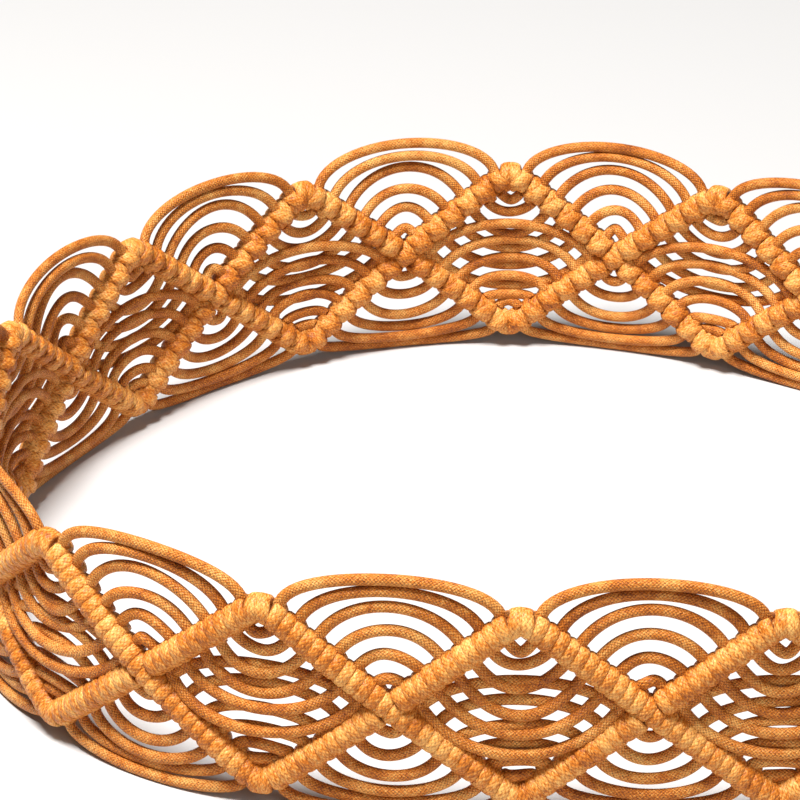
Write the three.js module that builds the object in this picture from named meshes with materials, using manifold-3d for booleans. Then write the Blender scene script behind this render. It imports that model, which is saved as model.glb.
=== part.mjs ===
// Rope belt: a band of knotted waxed cord that stands on its lower edge as a closed loop.
// Two rows of bars zigzag up and down the band and cross at mid height; the cords between
// the bars hang and rise in nested arcs. Millimetres, +Z up, the origin under the loop's middle.
import * as THREE from "three";
import Module from "manifold-3d";

// Driving dimensions
const cordThickness = 2.5;
const barThickness = 6.2;
const loopLength = 844;
const closureLength = 56;
const repeatCount = 14;
const barRise = 43;
const scallopRise = 6.6;
const footRise = 2.6;
const bundleThickness = 11;
const tieThickness = 15.5;
const tieLength = 22;
const pieceGap = 0.3;

// The loop's outline from above, as waves added to a circle, in shares of its mean radius
const outlineWaves = [
  { waves: 2, along: 0.095, across: -0.038 },
  { waves: 3, along: 0.023, across: -0.057 },
];
const tieAngle = THREE.MathUtils.degToRad(356.5);

// Each flat strip is two or three cords side by side. Roots are shares of half a bar, counted
// from its tip at the band's edge; crests are shares of half the bars' rise above mid height.
const archStrips = [
  { outerRoot: 0.1, innerRoot: 0.4, outerCrest: 1.45, innerCrest: 1.06, steps: 7 },
  { outerRoot: 0.53, innerRoot: 0.75, outerCrest: 0.86, innerCrest: 0.54, steps: 5 },
];
const hammockStrips = [
  { outerRoot: 0.24, innerRoot: 0.44, outerCrest: 0.6, innerCrest: 0.34, steps: 4 },
  { outerRoot: 0.57, innerRoot: 0.84, outerCrest: 0.2, innerCrest: 0.03, steps: 5 },
];
// Where the ends gather, levels are shares of the bundle's half thickness
const gatherStrips = [
  { outerRoot: 0.1, innerRoot: 0.4, outerLevel: 0.9, innerLevel: 0.6 },
  { outerRoot: 0.53, innerRoot: 0.84, outerLevel: 0.5, innerLevel: 0.2 },
];

// Mesh fineness
const outlineDivisions = 1440;
const barSides = 6;
const barSteps = 5;
const halfBarSteps = 2;
const bundleSides = 8;
const gatherSteps = 4;
const tieSides = 12;
const tieSteps = 2;

// Sizes that follow
const repeatLength = (loopLength - closureLength) / repeatCount;
const halfRepeat = repeatLength / 2;
const halfRise = barRise / 2;
const slope = Math.atan2(halfRise, halfRepeat);
const halfBarLength = Math.hypot(halfRise, halfRepeat);
const barRadius = barThickness / 2;
const barFace = barRadius * Math.cos(Math.PI / barSides);
const barClearance = barFace + pieceGap;
const tipLevel = halfRise + barFace / Math.cos(slope);
const crestLimit = { 1: tipLevel + scallopRise, [-1]: tipLevel + footRise };
const midHeight = crestLimit[-1];
const crossingAt = (index) => closureLength / 2 + index * repeatLength;

const wasm = await Module();
wasm.setup();

// The loop seen from above, counterclockwise from the middle of the closing tie
class LoopOutline extends THREE.Curve {
  constructor(meanRadius) {
    super();
    this.meanRadius = meanRadius;
    this.arcLengthDivisions = outlineDivisions;
  }
  getPoint(t, target = new THREE.Vector3()) {
    const angle = tieAngle + t * 2 * Math.PI;
    const radius = outlineWaves.reduce(
      (sum, { waves, along, across }) =>
        sum + along * Math.cos(waves * angle) + across * Math.sin(waves * angle),
      1,
    );
    return target.set(Math.cos(angle), Math.sin(angle), 0).multiplyScalar(radius * this.meanRadius);
  }
}
const outline = new LoopOutline(loopLength / new LoopOutline(1).getLength());

// A point of the band: s along the loop, z from mid height, n outwards from the middle
function place(s, z, n) {
  const t = THREE.MathUtils.euclideanModulo(s / loopLength, 1);
  const point = outline.getPointAt(t);
  const tangent = outline.getTangentAt(t);
  return new THREE.Vector3(point.x + n * tangent.y, point.y - n * tangent.x, midHeight + z);
}

// A closed solid through rings that each have the same number of corners
function loft(rings) {
  const sides = rings[0].length;
  const triangles = [];
  for (let r = 0; r + 1 < rings.length; r++) {
    for (let i = 0; i < sides; i++) {
      const a = r * sides + i;
      const b = r * sides + ((i + 1) % sides);
      triangles.push(a, b, b + sides, a, b + sides, a + sides);
    }
  }
  const last = (rings.length - 1) * sides;
  for (let i = 1; i + 1 < sides; i++) {
    triangles.push(0, i + 1, i, last, last + i, last + i + 1);
  }
  const corners = rings.flat().flatMap((corner) => corner.toArray());
  const build = (triVerts) =>
    new wasm.Manifold(
      new wasm.Mesh({
        numProp: 3,
        vertProperties: new Float32Array(corners),
        triVerts: new Uint32Array(triVerts),
      }),
    );
  const solid = build(triangles);
  return solid.volume() > 0 ? solid : build(triangles.reverse());
}

// A round rod along straight runs between [s, z] points, mitred where it turns. endFacing is
// the direction that its first end faces, where that isn't square to the rod.
function rod(points, radius, sides, endFacing) {
  const flat = points.map(([s, z]) => new THREE.Vector2(s, z));
  const headings = flat.slice(1).map((point, i) => point.clone().sub(flat[i]).normalize());
  return loft(
    flat.map((point, i) => {
      const before = headings[Math.max(i - 1, 0)];
      const after = headings[Math.min(i, headings.length - 1)];
      const facing = i === 0 && endFacing ? endFacing : before.clone().add(after).normalize();
      const widening = 1 / facing.dot(after);
      return Array.from({ length: sides }, (_, side) => {
        const angle = (2 * Math.PI * (side + 0.5)) / sides;
        const across = radius * Math.cos(angle) * widening;
        return place(
          point.x - facing.y * across,
          point.y + facing.x * across,
          radius * Math.sin(angle),
        );
      });
    }),
  );
}

function straightRun(from, to, steps) {
  return Array.from({ length: steps + 1 }, (_, i) => {
    const t = i / steps;
    return [from[0] + (to[0] - from[0]) * t, from[1] + (to[1] - from[1]) * t];
  });
}

// A step along a rising bar, as [s, z]
const upAlong = (distance) => [distance * Math.cos(slope), distance * Math.sin(slope)];

// A bar that falls from the peak before a crossing to the valley after it. The first one
// starts just before its crossing and the last one ends just past it. A full end turns over
// the tip by one bar radius, towards the next bar.
function fallingBar(crossing) {
  const fromPeak = crossing > 0;
  const toValley = crossing < repeatCount;
  const s = crossingAt(crossing);
  const [pastS, pastZ] = upAlong(barFace);
  const [turnS, turnZ] = upAlong(barRadius);
  const start = fromPeak ? [s - halfRepeat, halfRise] : [s - pastS, pastZ];
  const end = toValley ? [s + halfRepeat, -halfRise] : [s + pastS, -pastZ];
  const run = straightRun(start, end, fromPeak && toValley ? barSteps : halfBarSteps);
  if (fromPeak) run.unshift([start[0] - turnS, start[1] - turnZ]);
  if (toValley) run.push([end[0] + turnS, end[1] + turnZ]);
  return rod(run, barRadius, barSides);
}

// Half of a rising bar, clear of the falling bars at both its ends: side 1 climbs from a
// crossing to the next peak, side -1 drops from it to the valley before.
function risingHalfBar(crossing, side) {
  const s = crossingAt(crossing);
  const [nearS, nearZ] = upAlong(side * (barClearance / Math.sin(2 * slope)));
  const [farS, farZ] = upAlong(side * (halfBarLength - barRadius - pieceGap));
  const facing = new THREE.Vector2(side * Math.sin(slope), side * Math.cos(slope));
  const run = straightRun([s + nearS, nearZ], [s + farS, farZ], halfBarSteps);
  return rod(run, barRadius, barSides, facing);
}

// How far a cubic curve rises at its middle, as a share of how far its handles rise
const crestOfHandle = 0.75;

// One edge of a strip. It leaves the bar on its left squarely, passes its crest midway and
// meets the bar on its right squarely. freeEnd -1 or 1 is the end that stops clear of its
// bar; the other end is sunk into its own. Points are [s, z].
function arcEdge({ middle, halfSpan, root, crest, side, freeEnd, steps }) {
  const bend = Math.sign(crest - root);
  const ends = [-1, 1].map((end) => {
    const out = end === freeEnd ? barClearance : barFace / 2;
    const s = middle + end * (halfSpan - out * Math.sin(slope));
    const z = root + bend * out * Math.cos(slope);
    const handle = Math.max((bend * (crest - z)) / crestOfHandle, 0);
    const reach = Math.min(handle * Math.tan(slope), Math.abs(s - middle));
    return {
      root: new THREE.Vector2(s, z),
      handle: new THREE.Vector2(s - end * reach, z + bend * handle),
    };
  });
  const curve = new THREE.CubicBezierCurve(
    ends[0].root,
    ends[0].handle,
    ends[1].handle,
    ends[1].root,
  );
  return curve
    .getPoints(steps)
    .map((point) => [point.x, side * Math.min(point.y, crestLimit[side])]);
}

// A flat strip of cords between two edges
function strip(outerEdge, innerEdge) {
  const half = cordThickness / 2;
  return loft(
    outerEdge.map((outer, i) => [
      place(...outer, half),
      place(...outer, -half),
      place(...innerEdge[i], -half),
      place(...innerEdge[i], half),
    ]),
  );
}

// Strips from a table, between a left and a right bar. spanOf gives half their distance
// apart for a root share.
function arcStrips(rows, spanOf, middle, side, freeEnd) {
  return rows.map(({ outerRoot, innerRoot, outerCrest, innerCrest, steps }) => {
    const edge = (rootShare, crestShare) =>
      arcEdge({
        middle,
        halfSpan: halfRepeat * spanOf(rootShare),
        root: halfRise * (1 - rootShare),
        crest: halfRise * crestShare,
        side,
        freeEnd,
        steps,
      });
    return strip(edge(outerRoot, outerCrest), edge(innerRoot, innerCrest));
  });
}

// Arches span a crossing outside the bars; hammocks span the diamond under a peak
const archOver = (crossing, side) =>
  arcStrips(archStrips, (root) => 1 - root, crossingAt(crossing), side, -side);
const hangUnder = (peak, side) =>
  arcStrips(hammockStrips, (root) => root, crossingAt(peak) - halfRepeat, side, side);

const join = (solids) => solids.reduce((whole, solid) => whole.add(solid));

// A rising half bar with the arcs that it carries. Side 1 is the upper half of the band,
// side -1 the lower half.
function arcsPiece(index, side) {
  const crossing = side === 1 ? index - 1 : index;
  const pieces = [risingHalfBar(crossing, side), ...hangUnder(index, side)];
  if (crossing > 0 && crossing < repeatCount) pieces.push(...archOver(crossing, side));
  return join(pieces);
}

// The cords of one end, drawn together from the last bars into a bundle for the tie.
// direction 1 is the start of the band, -1 its end.
function gatherPiece(direction) {
  const mirror = (s) => (direction === 1 ? s : loopLength - s);
  const startAt = crossingAt(0);
  const bundleRadius = bundleThickness / 2;
  const bundleRun = [pieceGap / 2, tieLength / 2 + barRadius].map((s) => [mirror(s), 0]);
  const edge = (level, root, side) => {
    const from = new THREE.Vector2(tieLength / 2, side * level * bundleRadius);
    const to = new THREE.Vector2(
      startAt + halfRepeat * (1 - root) - barClearance * Math.sin(slope),
      side * (halfRise * (1 - root) + barClearance * Math.cos(slope)),
    );
    const reach = (to.x - from.x) / 2;
    const curve = new THREE.CubicBezierCurve(
      from,
      new THREE.Vector2(from.x + reach, from.y),
      new THREE.Vector2(to.x - reach * Math.sin(slope), to.y + side * reach * Math.cos(slope)),
      to,
    );
    return curve.getPoints(gatherSteps).map((point) => [mirror(point.x), point.y]);
  };
  const cords = [1, -1].flatMap((side) =>
    gatherStrips.map(({ outerRoot, innerRoot, outerLevel, innerLevel }) =>
      strip(edge(outerLevel, outerRoot, side), edge(innerLevel, innerRoot, side)),
    ),
  );
  const cornerOfBar = barFace * (Math.cos(slope) + Math.sin(slope));
  const fillerRun = [tieLength / 2, startAt - cornerOfBar - pieceGap].map(mirror);
  const fillerEdge = (level) => fillerRun.map((s) => [s, level * cordThickness]);
  return join([
    rod(bundleRun, bundleRadius, bundleSides),
    ...cords,
    strip(fillerEdge(1), fillerEdge(-1)),
  ]);
}

// One plain sleeve wound round both bundles
function tiePiece() {
  const sleeve = (radius, reach) =>
    rod(straightRun([-reach, 0], [reach, 0], tieSteps), radius, tieSides);
  const bore = sleeve(bundleThickness / 2 + pieceGap, tieLength / 2 + pieceGap);
  return sleeve(tieThickness / 2, tieLength / 2).subtract(bore);
}

function geometryOf(solid) {
  const { vertProperties, triVerts } = solid.getMesh();
  const geometry = new THREE.BufferGeometry();
  geometry.setAttribute("position", new THREE.BufferAttribute(vertProperties, 3));
  geometry.setIndex(new THREE.BufferAttribute(triVerts, 1));
  geometry.computeVertexNormals();
  return geometry;
}

const waxedCord = (color) =>
  new THREE.MeshStandardMaterial({ color, roughness: 0.62, metalness: 0, flatShading: true });
const barColor = 0xd2934f;
const arcColor = 0xc67f3c;
const tieColor = 0xbe7838;

const band = new THREE.Group();
function addPiece(name, solid, color) {
  const mesh = new THREE.Mesh(geometryOf(solid), waxedCord(color));
  mesh.name = name;
  band.add(mesh);
}

const numbered = (name, index) => name + "_" + String(index).padStart(2, "0");
for (let index = 0; index <= repeatCount; index++) {
  addPiece(numbered("falling_bar", index), fallingBar(index), barColor);
}
for (let index = 1; index <= repeatCount; index++) {
  addPiece(numbered("upper_arcs", index), arcsPiece(index, 1), arcColor);
  addPiece(numbered("lower_arcs", index), arcsPiece(index, -1), arcColor);
}
addPiece("start_gather", gatherPiece(1), arcColor);
addPiece("end_gather", gatherPiece(-1), arcColor);
addPiece("closing_tie", tiePiece(), tieColor);

// The band's middle, seen from above, goes to the origin
const middle = new THREE.Box3().setFromObject(band).getCenter(new THREE.Vector3());
band.position.set(-middle.x, -middle.y, 0);
const belt = new THREE.Group();
belt.add(band);

export default belt;
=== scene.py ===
# Rope belt: knotted waxed cord that stands on its lower edge as a closed loop.
import bpy
import math
import numpy as np
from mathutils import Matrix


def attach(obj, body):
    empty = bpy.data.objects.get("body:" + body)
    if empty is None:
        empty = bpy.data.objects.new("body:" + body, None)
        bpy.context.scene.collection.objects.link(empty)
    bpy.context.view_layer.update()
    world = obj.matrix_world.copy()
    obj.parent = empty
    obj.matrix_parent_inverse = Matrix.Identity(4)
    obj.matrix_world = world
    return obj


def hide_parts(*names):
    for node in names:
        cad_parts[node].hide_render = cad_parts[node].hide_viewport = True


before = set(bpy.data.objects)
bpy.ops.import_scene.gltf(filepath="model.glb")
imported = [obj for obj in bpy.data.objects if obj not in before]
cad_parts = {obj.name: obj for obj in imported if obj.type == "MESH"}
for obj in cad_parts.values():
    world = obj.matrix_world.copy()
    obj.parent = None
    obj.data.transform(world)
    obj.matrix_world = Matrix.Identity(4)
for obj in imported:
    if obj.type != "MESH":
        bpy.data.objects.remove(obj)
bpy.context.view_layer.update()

# The band, in millimetres: s along the loop, z from mid height, n outwards
band = {
    "cord": 2.5,
    "loopLength": 844.0,
    "closureLength": 56.0,
    "repeats": 14,
    "barRise": 43.0,
    "tipRaise": 1.0,      # how far the rounded tips' corners lie beyond the bars' rise
    "barThickness": 6.2,
    "barSides": 6,
    "footRise": 2.6,
    "tieLength": 22.0,
    "tieAngle": 356.5,
    "waves": ((2, 0.095, -0.038), (3, 0.023, -0.057)),  # count, cosine share, sine share
    "outlineSteps": 5760,
    "seed": 41,
}
cord = band["cord"]
repeatLength = (band["loopLength"] - band["closureLength"]) / band["repeats"]
halfRepeat = repeatLength / 2
barFace = band["barThickness"] / 2 * math.cos(math.pi / band["barSides"])
midHeight = (
    band["barRise"] / 2
    + barFace / math.cos(math.atan2(band["barRise"] / 2, halfRepeat))
    + band["footRise"]
)
halfRise = band["barRise"] / 2 + band["tipRaise"]
slope = math.atan2(halfRise, halfRepeat)
toMetres = 0.001
rng = np.random.default_rng(band["seed"])


def outlineTable():
    angles = math.radians(band["tieAngle"]) + np.linspace(0, 2 * math.pi, band["outlineSteps"] + 1)
    radius = np.ones_like(angles)
    for waves, along, across in band["waves"]:
        radius += along * np.cos(waves * angles) + across * np.sin(waves * angles)
    points = np.stack([radius * np.cos(angles), radius * np.sin(angles)], axis=1)
    steps = np.linalg.norm(np.diff(points, axis=0), axis=1)
    run = np.concatenate([[0], np.cumsum(steps)])
    scale = band["loopLength"] / run[-1]
    points, run = points * scale, run * scale
    ahead = np.roll(points[:-1], -1, axis=0) - np.roll(points[:-1], 1, axis=0)
    ahead = np.concatenate([ahead, ahead[:1]])
    tangents = ahead / np.linalg.norm(ahead, axis=1, keepdims=True)
    outer = points + barFace * np.stack([tangents[:, 1], -tangents[:, 0]], axis=1)
    return run, points - (outer.min(0) + outer.max(0)) / 2, tangents


outlineRun, outlinePoints, outlineTangents = outlineTable()


def place(s, z, n):
    t = np.mod(s, band["loopLength"])
    x, y = (np.interp(t, outlineRun, outlinePoints[:, i]) for i in (0, 1))
    tx, ty = (np.interp(t, outlineRun, outlineTangents[:, i]) for i in (0, 1))
    return np.stack([x + n * ty, y - n * tx, midHeight + z], axis=-1)


def crossingAt(index):
    return band["closureLength"] / 2 + index * repeatLength


# Strands: lists of points with a facing, a radius and what the finish reads. The fillet,
# the radii and the floor gap are in cords.
strandSizes = {
    "filletRadius": 1.6,    # how tightly a filler turns over a tip
    "fillerRadius": 0.66,
    "fillerStep": 1.5,      # millimetres between a filler's points
    "wrapRadius": 0.65,     # half width of a wrapped cord, along the bar
    "arcRadius": 0.55,
    "wrapFlatness": 0.72,   # thickness over width
    "arcFlatness": 0.86,
    "wrapSquareness": 2.8,  # 2 is an oval section; more fills its corners
    "arcSquareness": 2.05,
    "sides": 14,
    "floorGap": 0.012,      # under a cord that rests on the floor
    "runSpread": 400,       # millimetres of cord among which the finish starts
}
lowestMiddle = (strandSizes["arcRadius"] + strandSizes["floorGap"]) * cord - midHeight


# Wrapped is 1 for a cord that winds round others and 0 for one that spans between bars
def newStrand(path, facing, radius, shade, wrapped):
    path = np.asarray(path, float)
    tangents = np.gradient(path, axis=0)
    tangents /= np.linalg.norm(tangents, axis=1, keepdims=True)
    facing = facing - (facing * tangents).sum(1, keepdims=True) * tangents
    facing /= np.linalg.norm(facing, axis=1, keepdims=True)
    steps = np.linalg.norm(np.diff(path, axis=0), axis=1)
    run = np.concatenate([[0], np.cumsum(steps)]) + rng.uniform(0, strandSizes["runSpread"])
    return {
        "path": path,
        "facing": facing,
        "radius": np.broadcast_to(radius, len(path)).astype(float),
        "run": run,
        "shade": np.full(len(path), shade),
        "wrapped": np.full(len(path), wrapped),
    }


# A bar as seen from its tip: distance u away from the tip's top, falling to the right
def fromTip(u):
    fillet = strandSizes["filletRadius"] * cord
    turn = np.clip(u / fillet, -1, slope)
    beyond = np.maximum(u - fillet * slope, 0)
    reach = fillet * math.tan(slope) + beyond
    onFillet = u < fillet * slope
    s = np.where(onFillet, fillet * np.sin(turn), reach * math.cos(slope))
    z = np.where(
        onFillet,
        fillet * np.cos(turn) - fillet / math.cos(slope),
        -reach * math.sin(slope),
    )
    return s, z, np.cos(turn), -np.sin(turn)


fullBar = 2 * (
    math.hypot(halfRise, halfRepeat)
    - strandSizes["filletRadius"] * cord * (math.tan(slope) - slope)
)


# The falling bar through a crossing, u from its peak; the rising bar is its mirror image
# about mid height, u from its valley. Gives s, z, the heading and the outgoing side.
def barAt(crossing, rising, u):
    u = np.asarray(u, float)
    fromPeak = fromTip(u)
    fromValley = fromTip(fullBar - u)
    early = u < fullBar / 2
    middle = crossingAt(crossing)
    s = np.where(early, middle - halfRepeat + fromPeak[0], middle + halfRepeat - fromValley[0])
    z = np.where(early, halfRise + fromPeak[1], -halfRise - fromValley[1])
    ts = np.where(early, fromPeak[2], fromValley[2])
    tz = np.where(early, fromPeak[3], fromValley[3])
    flip = -1 if rising else 1
    return s, flip * z, ts, flip * tz, -tz, flip * ts


def onBar(crossing, rising, u, v, n):
    s, z, ts, tz, vs, vz = barAt(crossing, rising, u)
    return place(s + v * vs, z + v * vz, n)


# Hitches: a cord wrapped twice round the filler
hitch = {
    "count": 13,           # on a whole bar
    "spread": 0.25,        # from a hitch's middle to each of its two wraps, in pitches
    "spreadVariation": (0.96, 1.04),
    "fan": 0.08,           # how much the wraps widen over a tip
    "fanShares": (1, 0.3),  # for the hitch at a tip and the next one
    "lean": 0.5,           # in cords, how far the wraps lean together over a tip
    "leanReach": 1.5,      # in cords, how far from a tip they still do
    "wrapCentre": 0.85,    # in cords, from the filler's middle to the wrapped cord's middle
    "centreVariation": (0.98, 1.04),
    "bump": 0.38,          # in cords, how far the pass behind stands out
    "bumpAt": 630,         # in degrees, as the next two
    "bumpWidth": 50,
    "step": 30,
    # degrees turned and place along the bar, in spreads
    "turns": (
        (225, -0.5), (270, -0.95), (330, -1.0), (570, -1.0), (630, 0.0), (690, 1.0),
        (930, 1.0), (990, 0.95), (1035, 0.5),
    ),
    "smoothSteps": 400,
    "smoothWindow": 27,
    # the lead in, which meets an arc: place in cords and facing, both across the bar
    # and outwards
    "leadPlaces": ((-1.5, -0.2), (-1.1, -0.32)),
    "leadFacings": ((-0.2, -1), (-0.5, -0.9)),
    "leadTaper": 0.86,
    "halfBarPast": 1.6,    # in cords, from a half bar's last hitch to its filler's end
    "risingStart": 0.9,    # in cords, from a crossing to the rising bar's filler
}
lastHitch = hitch["count"] - 1
middleHitch = lastHitch // 2
hitchPitch = fullBar / hitch["count"]
centres = hitchPitch * (np.arange(hitch["count"]) + 0.5)


def smoothedTurns():
    turns = np.array(hitch["turns"])
    degrees = np.linspace(turns[0, 0], turns[-1, 0], hitch["smoothSteps"])
    along = np.interp(degrees, turns[:, 0], turns[:, 1])
    window = np.hanning(hitch["smoothWindow"])
    padded = np.pad(along, hitch["smoothWindow"] // 2, mode="edge")
    return degrees, np.convolve(padded, window / window.sum(), mode="valid")


turnedDegrees, turnedPlaces = smoothedTurns()


# Puts the lead in before a row of values and its mirror image after it
def withLeads(values, lead, mirrored):
    return np.concatenate([lead, values, mirrored * lead[::-1]])


def hitchStrand(crossing, rising, index):
    theta = np.arange(hitch["turns"][0][0], hitch["turns"][-1][0] + 1, hitch["step"])
    faceV, faceN = np.cos(np.radians(theta)), np.sin(np.radians(theta))
    spread = hitch["spread"] * hitchPitch * rng.uniform(*hitch["spreadVariation"])
    u = centres[index] + spread * np.interp(theta, turnedDegrees, turnedPlaces)
    behind = np.exp(-(((theta - hitch["bumpAt"]) / hitch["bumpWidth"]) ** 2))
    centre = hitch["wrapCentre"] * rng.uniform(*hitch["centreVariation"])
    radius = cord * (centre + hitch["bump"] * behind)
    v, n = radius * faceV, radius * faceN
    # near a tip the wraps lean together over it and spread apart under it
    reach = hitch["leanReach"] * cord
    near = np.exp(-u / reach) + np.exp(-(fullBar - u) / reach)
    u = u - hitch["lean"] * cord * near * v / radius
    leadV, leadN = cord * np.array(hitch["leadPlaces"]).T
    leadFaceV, leadFaceN = np.array(hitch["leadFacings"], float).T
    leads = len(leadV)
    u = withLeads(u, np.full(leads, centres[index]), 1)
    v, n = withLeads(v, leadV, -1), withLeads(n, leadN, 1)
    faceV, faceN = withLeads(faceV, leadFaceV, -1), withLeads(faceN, leadFaceN, 1)
    path = onBar(crossing, rising, u, v, n)
    facing = onBar(crossing, rising, u, v + faceV, n + faceN) - path
    first, second = hitch["fanShares"]
    fans = {0: first, 1: second, lastHitch: -first, lastHitch - 1: -second}
    fan = np.maximum(fans.get(index, 0) * v / np.hypot(v, n), 0)
    width = strandSizes["wrapRadius"] * cord * (1 + hitch["fan"] * fan)
    width[:leads] = width[-leads:] = strandSizes["arcRadius"] * cord
    width[[0, -1]] *= hitch["leadTaper"]
    return newStrand(path, facing, width, rng.uniform(), 1.0)


def fillerStrand(crossing, rising, start, end):
    u = np.linspace(start, end, int((end - start) / strandSizes["fillerStep"]))
    path = onBar(crossing, rising, u, 0 * u, 0 * u)
    facing = onBar(crossing, rising, u, 0 * u, 0 * u + 1) - path
    return newStrand(path, facing, strandSizes["fillerRadius"] * cord, rng.uniform(), 1.0)


# Arcs: cords that span from bar to bar in nested curves. Side 1 is the band's upper half,
# side -1 its lower half; rows run from the tip's cord to the one by the crossing.
arcs = {
    # shares of half the bars' rise
    "archCrests": {
        1: (1.37, 1.25, 1.1, 0.83, 0.58, 0.33),
        -1: (1.16, 1.05, 0.94, 0.77, 0.54, 0.3),
    },
    "hammockCrests": {
        1: (0.65, 0.48, 0.24, 0.04, -0.14, -0.34),
        -1: (0.7, 0.57, 0.36, 0.14, -0.07, -0.28),
    },
    "archSpread": 0.016,    # at random, either way
    "hammockSpread": 0.032,
    # in cords, outwards
    "archDepth": {1: (0.1, -0.1, 0.1, 0, 0, 0), -1: (0.15, -0.2, 0.15, 0, -0.1, -0.3)},
    "hammockDepth": {1: (0, 0, 0, 0.1, 0.4, 0.5), -1: (0, 0, 0, 0, -0.3, -0.45)},
    "depthSpread": 0.16,
    # how flatly a cord leaves its bar; 1 is squarely
    "archReach": (0.45, 0.6, 0.75, 0.85, 0.95, 1),
    "hammockReach": (1, 0.95, 0.9, 0.85, 0.8, 0.8),
    "hammockShift": (0.5, 0.25, 0.1, 0, 0, 0),   # in pitches, away from the tip
    # how much lower the lowest hammock hangs: at random, or as chosen for a peak
    "sagSpread": 0.16,
    "sags": {9: 0.02, 10: 0.02, 11: 0.15, 12: 0.14},
    "lowerSag": 0.5,        # the lower half's share of a random sag
    "sagPower": 1.5,
    "leanSpread": 0.1,
    "root": 1.15,           # in cords, from the filler to where an arc starts
    "rootDepth": -0.28,
    "bulgePower": 0.7,
    "crestOfHandle": 0.75,  # how far a cubic curve rises, as a share of its handles' rise
    "points": 26,
}


def bezier(start, startHandle, endHandle, end, count):
    t = np.linspace(0, 1, count)[:, None]
    curve = (
        (1 - t) ** 3 * start
        + 3 * t * (1 - t) ** 2 * startHandle
        + 3 * t * t * (1 - t) * endHandle
        + t**3 * end
    )
    return t[:, 0], curve


# Where a cord starts beside a bar and which way it leaves. A bar is its crossing, whether
# it rises and how far along it the cord's hitch is.
def rootBeside(bar, away):
    s, z, _, _, vs, vz = (float(value) for value in barAt(*bar))
    out = arcs["root"] * cord * away
    return np.array([s + out * vs, z + out * vz]), np.array([vs, vz]) * away


def arcStrand(left, right, crest, side, depth, flatness):
    leftRoot, leftOut = rootBeside(left, 1)
    rightRoot, rightOut = rootBeside(right, -1)
    middle = (leftRoot[0] + rightRoot[0]) / 2
    level = side * crest * halfRise
    lean = rng.uniform(-1, 1) * arcs["leanSpread"]
    handles = []
    for root, out, share in ((leftRoot, leftOut, 1 + lean), (rightRoot, rightOut, 1 - lean)):
        rise = abs(level - root[1]) / arcs["crestOfHandle"] * share
        reach = min(rise * abs(out[0] / out[1]), abs(root[0] - middle)) * flatness
        handles.append(root + np.array([math.copysign(reach, out[0]), math.copysign(rise, out[1])]))
    t, curve = bezier(leftRoot, *handles, rightRoot, arcs["points"])
    bulge = np.sin(math.pi * t) ** arcs["bulgePower"]
    n = cord * (arcs["rootDepth"] * (1 - bulge) + depth * bulge)
    n += cord * arcs["depthSpread"] * (
        rng.uniform(-1, 1) * bulge + rng.uniform(-1, 1) * np.sin(2 * math.pi * t)
    )
    z = np.maximum(curve[:, 1], lowestMiddle)
    path = place(curve[:, 0], z, n)
    facing = place(curve[:, 0], z, n + 1) - path
    return newStrand(path, facing, strandSizes["arcRadius"] * cord, rng.uniform(), 0.0)


def archesAt(crossing, side):
    strands = []
    for i in range(middleHitch):
        crest = arcs["archCrests"][side][i] + rng.uniform(-1, 1) * arcs["archSpread"]
        left = (crossing, side < 0, centres[i])
        right = (crossing, side > 0, centres[lastHitch - i])
        depth, reach = arcs["archDepth"][side][i], arcs["archReach"][i]
        strands.append(arcStrand(left, right, crest, side, depth, reach))
    return strands


def hammocksAt(peak, side):
    sag = rng.uniform(0, arcs["sagSpread"])
    sag = arcs["sags"].get(peak, sag) if side > 0 else sag * arcs["lowerSag"]
    strands = []
    for i in range(middleHitch):
        crest = arcs["hammockCrests"][side][i] + rng.uniform(-1, 1) * arcs["hammockSpread"]
        crest -= sag * (i / (middleHitch - 1)) ** arcs["sagPower"]
        shift = arcs["hammockShift"][i] * hitchPitch
        left = (peak - 1, side > 0, centres[lastHitch - i] - shift)
        right = (peak, side < 0, centres[i] + shift)
        depth, reach = arcs["hammockDepth"][side][i], arcs["hammockReach"][i]
        strands.append(arcStrand(left, right, crest, side, depth, reach))
    return strands


# Sets a node's input to a number or a colour, or links it to another node's output
def fill(tree, socket, value):
    if isinstance(value, (int, float, tuple)):
        socket.default_value = value
    else:
        tree.links.new(value, socket)


def mathsIn(tree):
    def maths(operation, *values):
        node = tree.nodes.new("ShaderNodeMath")
        node.operation = operation
        for socket, value in zip(node.inputs, values):
            fill(tree, socket, value)
        return node.outputs[0]

    return maths


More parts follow.
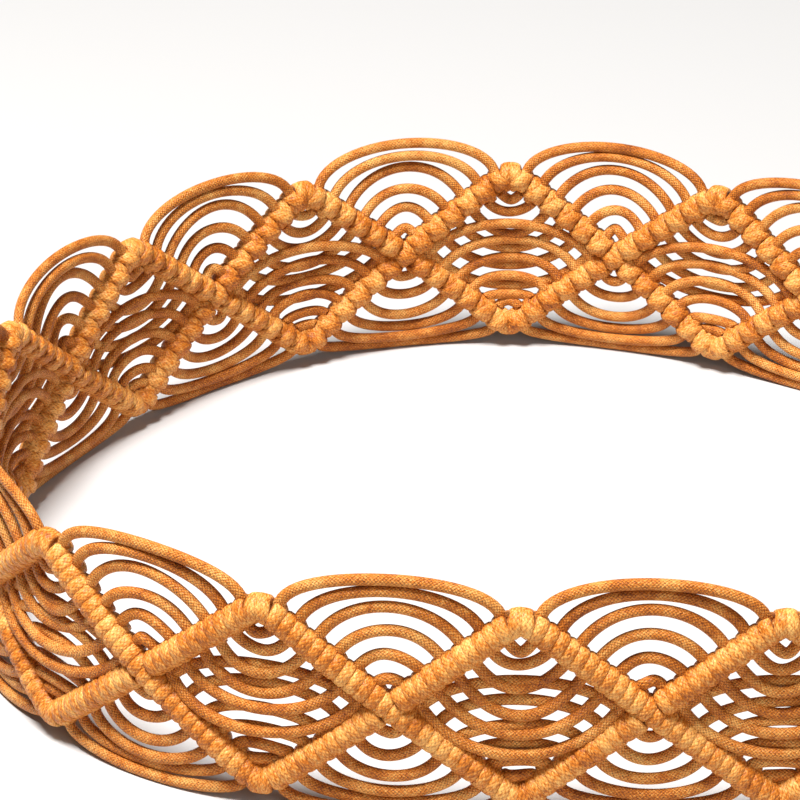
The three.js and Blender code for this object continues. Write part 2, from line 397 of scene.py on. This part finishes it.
# Sweeps a section along every strand, one for wrapped cords and one for arcs
def sweepTree():
    tree = bpy.data.node_groups.new("sweptCord", "GeometryNodeTree")
    face = tree.interface
    face.new_socket("Strands", in_out="INPUT", socket_type="NodeSocketGeometry")
    face.new_socket("Sides", in_out="INPUT", socket_type="NodeSocketInt").default_value = 12
    for name in ("Wrap Flatness", "Wrap Squareness", "Arc Flatness", "Arc Squareness"):
        face.new_socket(name, in_out="INPUT", socket_type="NodeSocketFloat").default_value = 1
    face.new_socket("Finish", in_out="INPUT", socket_type="NodeSocketMaterial")
    face.new_socket("Cords", in_out="OUTPUT", socket_type="NodeSocketGeometry")
    add, link = tree.nodes.new, tree.links.new
    maths = mathsIn(tree)
    given, result = add("NodeGroupInput"), add("NodeGroupOutput")

    def named(name, kind):
        node = add("GeometryNodeInputNamedAttribute")
        node.data_type = kind
        node.inputs["Name"].default_value = name
        return node.outputs["Attribute"]

    ring = add("GeometryNodeCurvePrimitiveCircle")
    ring.inputs["Radius"].default_value = 1
    link(given.outputs["Sides"], ring.inputs["Resolution"])
    around = add("GeometryNodeStoreNamedAttribute")
    around.data_type = "FLOAT_VECTOR"
    around.domain = "POINT"
    around.inputs["Name"].default_value = "cordAround"
    spot = add("GeometryNodeInputPosition").outputs["Position"]
    link(ring.outputs["Curve"], around.inputs["Geometry"])
    link(spot, around.inputs["Value"])
    split = add("ShaderNodeSeparateXYZ")
    link(spot, split.inputs[0])

    # a unit circle, with its corners filled out and then flattened
    def sectionOf(flatness, squareness):
        total = maths("ADD", *(
            maths("POWER", maths("ABSOLUTE", split.outputs[i]), squareness) for i in (0, 1)
        ))
        fuller = add("ShaderNodeVectorMath")
        fuller.operation = "SCALE"
        link(spot, fuller.inputs[0])
        link(maths("POWER", total, maths("DIVIDE", -1, squareness)), fuller.inputs["Scale"])
        section = add("GeometryNodeSetPosition")
        link(around.outputs["Geometry"], section.inputs["Geometry"])
        link(fuller.outputs[0], section.inputs["Position"])
        flat = add("ShaderNodeCombineXYZ")
        flat.inputs["Y"].default_value = 1
        flat.inputs["Z"].default_value = 1
        link(flatness, flat.inputs["X"])
        flatten = add("GeometryNodeTransform")
        link(section.outputs["Geometry"], flatten.inputs["Geometry"])
        link(flat.outputs["Vector"], flatten.inputs["Scale"])
        return flatten.outputs["Geometry"]

    wrapped = maths("GREATER_THAN", named("cordWrapped", "FLOAT"), 0.5)
    both = add("GeometryNodeJoinGeometry")
    for chosen, kind in ((wrapped, "Wrap"), (maths("SUBTRACT", 1, wrapped), "Arc")):
        toCurve = add("GeometryNodeMeshToCurve")
        link(given.outputs["Strands"], toCurve.inputs["Mesh"])
        link(chosen, toCurve.inputs["Selection"])
        turn = add("GeometryNodeSetCurveNormal")
        turn.mode = "FREE"
        link(toCurve.outputs["Curve"], turn.inputs["Curve"])
        link(named("cordFacing", "FLOAT_VECTOR"), turn.inputs["Normal"])
        sweep = add("GeometryNodeCurveToMesh")
        sweep.inputs["Fill Caps"].default_value = True
        link(turn.outputs["Curve"], sweep.inputs["Curve"])
        link(sectionOf(given.outputs[kind + " Flatness"], given.outputs[kind + " Squareness"]),
             sweep.inputs["Profile Curve"])
        link(named("cordRadius", "FLOAT"), sweep.inputs["Scale"])
        link(sweep.outputs["Mesh"], both.inputs["Geometry"])
    smooth = add("GeometryNodeSetShadeSmooth")
    link(both.outputs["Geometry"], smooth.inputs["Geometry"])
    real = add("GeometryNodeRealizeInstances")
    link(smooth.outputs["Geometry"], real.inputs["Geometry"])
    finish = add("GeometryNodeSetMaterial")
    link(real.outputs["Geometry"], finish.inputs["Geometry"])
    link(given.outputs["Finish"], finish.inputs["Material"])
    link(finish.outputs["Geometry"], result.inputs["Cords"])
    return tree


def sweepPiece(name, strands, tree, material):
    path = np.concatenate([strand["path"] for strand in strands]) * toMetres
    edges, start = [], 0
    for strand in strands:
        count = len(strand["path"])
        edges += [(start + i, start + i + 1) for i in range(count - 1)]
        start += count
    mesh = bpy.data.meshes.new(name)
    mesh.from_pydata(path.tolist(), edges, [])
    for attribute, key, scale in (
        ("cordRadius", "radius", toMetres), ("cordRun", "run", 1),
        ("cordShade", "shade", 1), ("cordWrapped", "wrapped", 1),
    ):
        values = np.concatenate([strand[key] for strand in strands]) * scale
        mesh.attributes.new(attribute, "FLOAT", "POINT").data.foreach_set(
            "value", values.astype(np.float32)
        )
    facing = np.concatenate([strand["facing"] for strand in strands]).astype(np.float32)
    mesh.attributes.new("cordFacing", "FLOAT_VECTOR", "POINT").data.foreach_set(
        "vector", facing.ravel()
    )
    piece = bpy.data.objects.new(name, mesh)
    bpy.context.scene.collection.objects.link(piece)
    modifier = piece.modifiers.new("sweptCord", "NODES")
    modifier.node_group = tree
    values = {
        "Sides": strandSizes["sides"],
        "Wrap Flatness": strandSizes["wrapFlatness"],
        "Wrap Squareness": strandSizes["wrapSquareness"],
        "Arc Flatness": strandSizes["arcFlatness"],
        "Arc Squareness": strandSizes["arcSquareness"],
        "Finish": material,
    }
    for item in tree.interface.items_tree:
        if item.in_out == "INPUT" and item.name in values:
            modifier[item.identifier] = values[item.name]
    bpy.context.view_layer.update()
    graph = bpy.context.evaluated_depsgraph_get()
    swept = bpy.data.meshes.new_from_object(piece.evaluated_get(graph))
    swept.name = name
    piece.modifiers.clear()
    piece.data = swept
    bpy.data.meshes.remove(mesh)
    return piece


# Finish: waxed cotton cord, braided, with fibres along it, and painted shade in the braid's gaps, in
# its hollows and between wraps
cordFinish = {
    "deep": (0.12, 0.014, 0.0005, 1),
    "middle": (0.6, 0.172, 0.012, 1),
    "light": (0.92, 0.5, 0.14, 1),
    "fleck": (0.12, 0.024, 0.006, 1),
    "stops": (0.12, 0.5, 0.9),       # tones at which the three colours lie
    "roughness": 0.44,
    "sheen": 0.03,
    "sheenRoughness": 0.5,
    "specular": 0.28,
    "braidPitch": 1.7,               # millimetres along the cord for two strands of the braid
    "braidStrands": 5,
    "underStrand": 0.5,              # how high a strand lies where it passes under
    "gapHeights": (0.42, 0.05),      # braid heights where the painted shade of a gap starts and where it is deepest
    # painted shade: how far a braid gap's colour goes toward the deep colour
    "paintedGapDarkness": 0.7,
    "fibres": (5.0, 1.6, 5.0),       # scale around the cord and along it, and detail
    "fibreRange": (0.25, 0.75),      # noise that gives the darkest and the lightest tone
    "fibreTone": 0.3,
    "grain": (2.4, 1.9, 2.0),
    "patches": (190.0, 3.0),         # scale and detail
    "patchRange": (0.3, 0.7),
    "patchTone": 0.16,
    "cordTones": (0.42, 0.58),       # darkest and lightest cord
    "arcLift": 0.05,                 # how much lighter an arc is than the mean tone
    "wrapLift": 0.09,
    "fleckGrain": (0.53, 0.63),
    # braid heights where the flecks start and where they are strongest: partly the cord's own dark
    # fibres, partly painted shade in the braid's hollows
    "fleckHeights": (0.7, 0.2),
    "fleckShade": 0.85,
    "wrapFlecks": 0.5,               # how much of the flecks shows where the cord is wrapped
    "wrapBraid": 0.55,               # and how much of the braid
    "paintedSeamStart": 0.8,                # how far across a wrap the painted shade, where it meets the next wrap, starts
    # painted shade between wraps: how far it goes toward the deep colour
    "paintedSeamDarkness": 0.75,
    "braidBump": 0.8,
    "fibreBump": 0.5,
    "bumpStrength": 0.75,
    "bumpDistance": 0.00025,
}


def cordMaterial(name, finish):
    material = bpy.data.materials.new(name)
    material.use_nodes = True
    tree = material.node_tree
    tree.nodes.clear()
    add, link = tree.nodes.new, tree.links.new
    maths = mathsIn(tree)

    def attribute(name, output="Fac"):
        node = add("ShaderNodeAttribute")
        node.attribute_name = name
        return node.outputs[output]

    def noise(vector, scale, detail):
        node = add("ShaderNodeTexNoise")
        node.inputs["Scale"].default_value = scale
        node.inputs["Detail"].default_value = detail
        link(vector, node.inputs["Vector"])
        return node.outputs["Fac"]

    def between(value, low, high, start=0.0, end=1.0):
        node = add("ShaderNodeMapRange")
        for name, amount in (("Value", value), ("From Min", low), ("From Max", high),
                             ("To Min", start), ("To Max", end)):
            fill(tree, node.inputs[name], amount)
        return node.outputs["Result"]

    def mixed(factor, first, second):
        node = add("ShaderNodeMix")
        node.data_type = "RGBA"
        for index, value in ((0, factor), (6, first), (7, second)):
            fill(tree, node.inputs[index], value)
        return node.outputs[2]

    def stretched(aroundScale, runScale):
        node = add("ShaderNodeCombineXYZ")
        link(maths("MULTIPLY", around.outputs["X"], aroundScale), node.inputs["X"])
        link(maths("MULTIPLY", around.outputs["Y"], aroundScale), node.inputs["Y"])
        link(maths("MULTIPLY", run, runScale), node.inputs["Z"])
        return node.outputs["Vector"]

    around = add("ShaderNodeSeparateXYZ")
    link(attribute("cordAround", "Vector"), around.inputs[0])
    turned = maths("ARCTAN2", around.outputs["Y"], around.outputs["X"])
    run = attribute("cordRun")
    shade = attribute("cordShade")
    wrapped = attribute("cordWrapped")

    # the braid: two sets of strands that wind opposite ways, over and under in turn
    wound = maths("MULTIPLY", turned, finish["braidStrands"] / math.pi)
    along = maths("MULTIPLY", run, 2 / finish["braidPitch"])
    oneWay = maths("ADD", wound, along)
    otherWay = maths("SUBTRACT", wound, along)
    oneRidge = maths("ABSOLUTE", maths("SINE", maths("MULTIPLY", oneWay, math.pi)))
    otherRidge = maths("ABSOLUTE", maths("SINE", maths("MULTIPLY", otherWay, math.pi)))
    cells = maths("ADD", maths("FLOOR", oneWay), maths("FLOOR", otherWay))
    onTop = maths("FLOORED_MODULO", cells, 2)
    first = maths("MULTIPLY", otherRidge, between(oneRidge, 0, 1, finish["underStrand"], 1))
    second = maths("MULTIPLY", oneRidge, between(otherRidge, 0, 1, finish["underStrand"], 1))
    braid = maths("ADD", maths("MULTIPLY", first, maths("SUBTRACT", 1, onTop)),
                  maths("MULTIPLY", second, onTop))
    showing = between(wrapped, 0, 1, 1, finish["wrapBraid"])
    # painted shade in the braid's gaps, weaker where the cord is wrapped
    paintedGapShade = maths("MULTIPLY", between(braid, *finish["gapHeights"]), showing)

    # noise on the cord's own surface, and patches that cross from cord to cord
    def onCord(aroundScale, runScale, detail):
        return noise(stretched(aroundScale, runScale), 1.0, detail)

    fibres = onCord(*finish["fibres"])
    patches = noise(add("ShaderNodeTexCoord").outputs["Object"], *finish["patches"])
    grain = onCord(*finish["grain"])

    # dye and wax: lighter and darker lengths, streaks along the fibres, one tone per cord
    tone = maths(
        "ADD",
        between(fibres, *finish["fibreRange"], -finish["fibreTone"], finish["fibreTone"]),
        between(patches, *finish["patchRange"], -finish["patchTone"], finish["patchTone"]),
    )
    tone = maths("ADD", tone, between(shade, 0, 1, *finish["cordTones"]))
    tone = maths("ADD", tone, between(wrapped, 0, 1, finish["arcLift"], finish["wrapLift"]))
    ramp = add("ShaderNodeValToRGB")
    link(tone, ramp.inputs["Fac"])
    stops = ramp.color_ramp.elements
    darkest, halfway, lightest = finish["stops"]
    stops[0].position, stops[0].color = darkest, finish["deep"]
    stops[1].position, stops[1].color = lightest, finish["light"]
    stops.new(halfway).color = finish["middle"]
    # painted shade: the braid's gaps darkened toward the deep colour
    colour = mixed(maths("MULTIPLY", paintedGapShade, finish["paintedGapDarkness"]), ramp.outputs["Color"], finish["deep"])
    # dark flecks of the cord's grain, partly real and partly painted shade, as they lie only in the
    # braid's hollows
    flecksAndHollowShade = maths("MULTIPLY", between(grain, *finish["fleckGrain"]),
                   between(braid, *finish["fleckHeights"]))
    flecksAndHollowShade = maths("MULTIPLY", flecksAndHollowShade, between(wrapped, 0, 1, 1, finish["wrapFlecks"]))
    colour = mixed(maths("MULTIPLY", flecksAndHollowShade, finish["fleckShade"]), colour, finish["fleck"])
    # painted shade along each wrap's sides, where it meets the next wrap
    across = maths("ABSOLUTE", around.outputs["Y"])
    paintedSeamShade = maths("MULTIPLY", between(across, finish["paintedSeamStart"], 1.0), wrapped)
    colour = mixed(maths("MULTIPLY", paintedSeamShade, finish["paintedSeamDarkness"]), colour, finish["deep"])

    height = maths("ADD", maths("MULTIPLY", maths("MULTIPLY", braid, showing), finish["braidBump"]),
                   maths("MULTIPLY", fibres, finish["fibreBump"]))
    bump = add("ShaderNodeBump")
    bump.inputs["Strength"].default_value = finish["bumpStrength"]
    bump.inputs["Distance"].default_value = finish["bumpDistance"]
    link(height, bump.inputs["Height"])

    shader = add("ShaderNodeBsdfPrincipled")
    shader.inputs["Roughness"].default_value = finish["roughness"]
    shader.inputs["Sheen Weight"].default_value = finish["sheen"]
    shader.inputs["Sheen Roughness"].default_value = finish["sheenRoughness"]
    shader.inputs["Specular IOR Level"].default_value = finish["specular"]
    link(colour, shader.inputs["Base Color"])
    link(bump.outputs["Normal"], shader.inputs["Normal"])
    output = add("ShaderNodeOutputMaterial")
    link(shader.outputs["BSDF"], output.inputs["Surface"])
    return material


# The pieces
tree = sweepTree()
barMaterial = cordMaterial("waxedCordBars", cordFinish)
arcMaterial = cordMaterial("waxedCordArcs", cordFinish)
tieMaterial = cordMaterial("waxedCordTie", cordFinish)
lastCrossing = band["repeats"]


def finishPiece(piece, node):
    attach(piece, "root")
    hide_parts(node)


# The first falling bar starts at its crossing and the last one ends there
halfBarPast = hitch["halfBarPast"] * cord
for crossing in range(lastCrossing + 1):
    start, firstOne = 0, 0
    end, lastOne = fullBar, lastHitch
    if crossing == 0:
        start, firstOne = centres[middleHitch] - halfBarPast, middleHitch
    if crossing == lastCrossing:
        end, lastOne = centres[middleHitch] + halfBarPast, middleHitch
    strands = [fillerStrand(crossing, False, start, end)]
    strands += [hitchStrand(crossing, False, i) for i in range(firstOne, lastOne + 1)]
    piece = sweepPiece("fallingBar%02d" % crossing, strands, tree, barMaterial)
    finishPiece(piece, "falling_bar_%02d" % crossing)
print("falling bars made")

risingStart = hitch["risingStart"] * cord
for index in range(1, lastCrossing + 1):
    for side, word in ((1, "upper"), (-1, "lower")):
        if side > 0:
            crossing, hitches = index - 1, range(middleHitch + 1, hitch["count"])
            start, end = centres[middleHitch] + risingStart, fullBar
        else:
            crossing, hitches = index, range(middleHitch)
            start, end = 0, centres[middleHitch] - risingStart
        strands = [fillerStrand(crossing, True, start, end)]
        strands += [hitchStrand(crossing, True, i) for i in hitches]
        strands += hammocksAt(index, side)
        if 0 < crossing < lastCrossing:
            strands += archesAt(crossing, side)
        piece = sweepPiece("%sArcs%02d" % (word, index), strands, tree, arcMaterial)
        finishPiece(piece, "%s_arcs_%02d" % (word, index))
print("arcs and rising bars made")


# The closure, in millimetres: cords gather into a bundle, tied with wound cord
closure = {
    # count, radius and turn of the cords' two rings in the bundle
    "outerRing": (10, 4.15, 0.31),
    "innerRing": (4, 1.77, 0.7),
    "neck": 2.0,          # from the tie to where the cords part
    "endGap": 0.2,        # from the middle of the tie to the cords' ends
    "straightStop": 1.5,
    "straightPoints": 6,
    "points": 26,
    "partingPower": 1.5,
    "fillerRoot": 1.3,    # in cords, from the crossing to where a filler leaves it
    "coilRadius": 1.15,
    "coilCentre": 6.55,
    "coilPitch": 1.94,    # in coil radii
    "coilSteps": 20,      # to a turn
    "coilShade": 0.5,
}


# Places of the bundle's cords, as n and z, from the top one down
def bundlePlaces():
    places = []
    for count, radius, turn in (closure["outerRing"], closure["innerRing"]):
        for angle in np.arange(count) * 2 * math.pi / count + turn:
            places.append((radius * math.cos(angle), radius * math.sin(angle)))
    return sorted(places, key=lambda spot: -spot[1])


# Runs along the loop from the tie towards either end of the band; it undoes itself
def fromTie(direction, s):
    return s if direction > 0 else band["loopLength"] - s


# Where a working cord leaves the bar at the band's end, and its heading
def workingRoot(direction, side, i):
    if direction > 0:
        bar = (0, side > 0, centres[lastHitch - i])
    else:
        bar = (lastCrossing, side < 0, centres[i])
    root, out = rootBeside(bar, -direction)
    return np.array([fromTie(direction, root[0]), root[1]]), np.array([-abs(out[0]), out[1]])


# The same for a filler, which leaves the crossing at the band's end
def fillerRoot(direction, rising):
    s = fromTie(direction, crossingAt(0 if direction > 0 else lastCrossing))
    heading = 1 if rising == (direction > 0) else -1
    out = np.array([-math.cos(slope), -heading * math.sin(slope)])
    return np.array([s, 0]) + closure["fillerRoot"] * cord * out, out


def gatherStrand(direction, spot, root, out, depth):
    spotN, spotZ = spot
    neck = np.array([band["tieLength"] / 2 + closure["neck"], spotZ])
    reach = (root[0] - neck[0]) / 2
    t, curve = bezier(neck, neck + np.array([reach, 0]), root + out * reach, root, closure["points"])
    count = closure["straightPoints"]
    straight = np.linspace(closure["endGap"], neck[0] - closure["straightStop"], count)
    s = fromTie(direction, np.concatenate([straight, curve[:, 0]]))
    z = np.maximum(np.concatenate([np.full(count, spotZ), curve[:, 1]]), lowestMiddle)
    parted = spotN * (1 - t) ** closure["partingPower"] + depth * t
    n = np.concatenate([np.full(count, spotN), parted])
    path = place(s, z, n)
    facing = place(s, z, n + 1) - path
    return newStrand(path, facing, strandSizes["arcRadius"] * cord, rng.uniform(), 0.0)


# The upper cords take the bundle's top, the lower ones its bottom, the fillers its middle
def gatherStrands(direction):
    spots = bundlePlaces()
    sides = ((1, spots[:middleHitch]), (-1, spots[-middleHitch:][::-1]))
    strands = []
    for side, ownSpots in sides:
        for i, spot in enumerate(ownSpots):
            root, out = workingRoot(direction, side, i)
            strands.append(gatherStrand(direction, spot, root, out, arcs["rootDepth"] * cord))
    for rising, spot in zip((True, False), spots[middleHitch:-middleHitch]):
        strands.append(gatherStrand(direction, spot, *fillerRoot(direction, rising), 0.0))
    return strands


for direction, name, node in ((1, "startGather", "start_gather"), (-1, "endGather", "end_gather")):
    piece = sweepPiece(name, gatherStrands(direction), tree, arcMaterial)
    finishPiece(piece, node)


def tieStrands():
    radius, centre = closure["coilRadius"], closure["coilCentre"]
    half = band["tieLength"] / 2 - radius
    turns = 2 * half / (closure["coilPitch"] * radius)
    t = np.linspace(0, 1, int(turns * closure["coilSteps"]))
    angle = t * turns * 2 * math.pi
    s = -half + 2 * half * t
    path = place(s, centre * np.cos(angle), centre * np.sin(angle))
    facing = path - place(s, 0 * s, 0 * s)
    return [newStrand(path, facing, radius, closure["coilShade"], 1.0)]


finishPiece(sweepPiece("closingTie", tieStrands(), tree, tieMaterial), "closing_tie")
print("closure made")


# Floor and light, in metres
studio = {
    "floorHalf": 6.0,
    "floorColour": (0.53, 0.519, 0.508, 1),
    "floorRoughness": 0.75,
    # name, place, size and power of each light; all face the loop's middle
    "lights": (
        ("softbox", (-0.35, -0.3, 1.5), 0.5, 54),
        ("fill", (0.6, -1.3, 0.8), 0.8, 5),
    ),
    "surroundings": (1, 1, 1, 1),
    "surroundingsPower": 0.08,
}


def makeFloor():
    mesh = bpy.data.meshes.new("floor")
    half = studio["floorHalf"]
    corners = [(-half, -half, 0), (half, -half, 0), (half, half, 0), (-half, half, 0)]
    mesh.from_pydata(corners, [], [(0, 1, 2, 3)])
    floor = bpy.data.objects.new("floor", mesh)
    bpy.context.scene.collection.objects.link(floor)
    material = bpy.data.materials.new("paleFloor")
    material.use_nodes = True
    shader = material.node_tree.nodes["Principled BSDF"]
    shader.inputs["Base Color"].default_value = studio["floorColour"]
    shader.inputs["Roughness"].default_value = studio["floorRoughness"]
    mesh.materials.append(material)


def makeLight(name, spot, size, power):
    light = bpy.data.lights.new(name, "AREA")
    light.shape = "DISK"
    light.size = size
    light.energy = power
    lamp = bpy.data.objects.new(name, light)
    lamp.location = spot
    x, y, z = spot
    lamp.rotation_euler = (math.atan2(math.hypot(x, y), z), 0, math.atan2(x, -y))
    bpy.context.scene.collection.objects.link(lamp)


makeFloor()
for light in studio["lights"]:
    makeLight(*light)
world = bpy.data.worlds.new("studio")
world.use_nodes = True
background = world.node_tree.nodes["Background"]
background.inputs["Color"].default_value = studio["surroundings"]
background.inputs["Strength"].default_value = studio["surroundingsPower"]
bpy.context.scene.world = world
bpy.context.scene.view_settings.view_transform = "Standard"

view = {
    "place": (-0.038, -0.921, 0.4982),
    "down": 26.34,        # degrees below level
    "turn": 0.41,         # degrees to the left
    "focalPixels": 4318,  # the focal length, in pixels of an image as wide as the next value
    "imageWidth": 800,
    "sensorWidth": 36,
}
camera = bpy.data.cameras.new("camera")
camera.sensor_width = view["sensorWidth"]
camera.lens = view["focalPixels"] / view["imageWidth"] * view["sensorWidth"]
eye = bpy.data.objects.new("camera", camera)
eye.location = view["place"]
eye.rotation_euler = (math.radians(90 - view["down"]), 0, math.radians(view["turn"]))
bpy.context.scene.collection.objects.link(eye)
bpy.context.scene.camera = eye
print("floor, light and camera set")
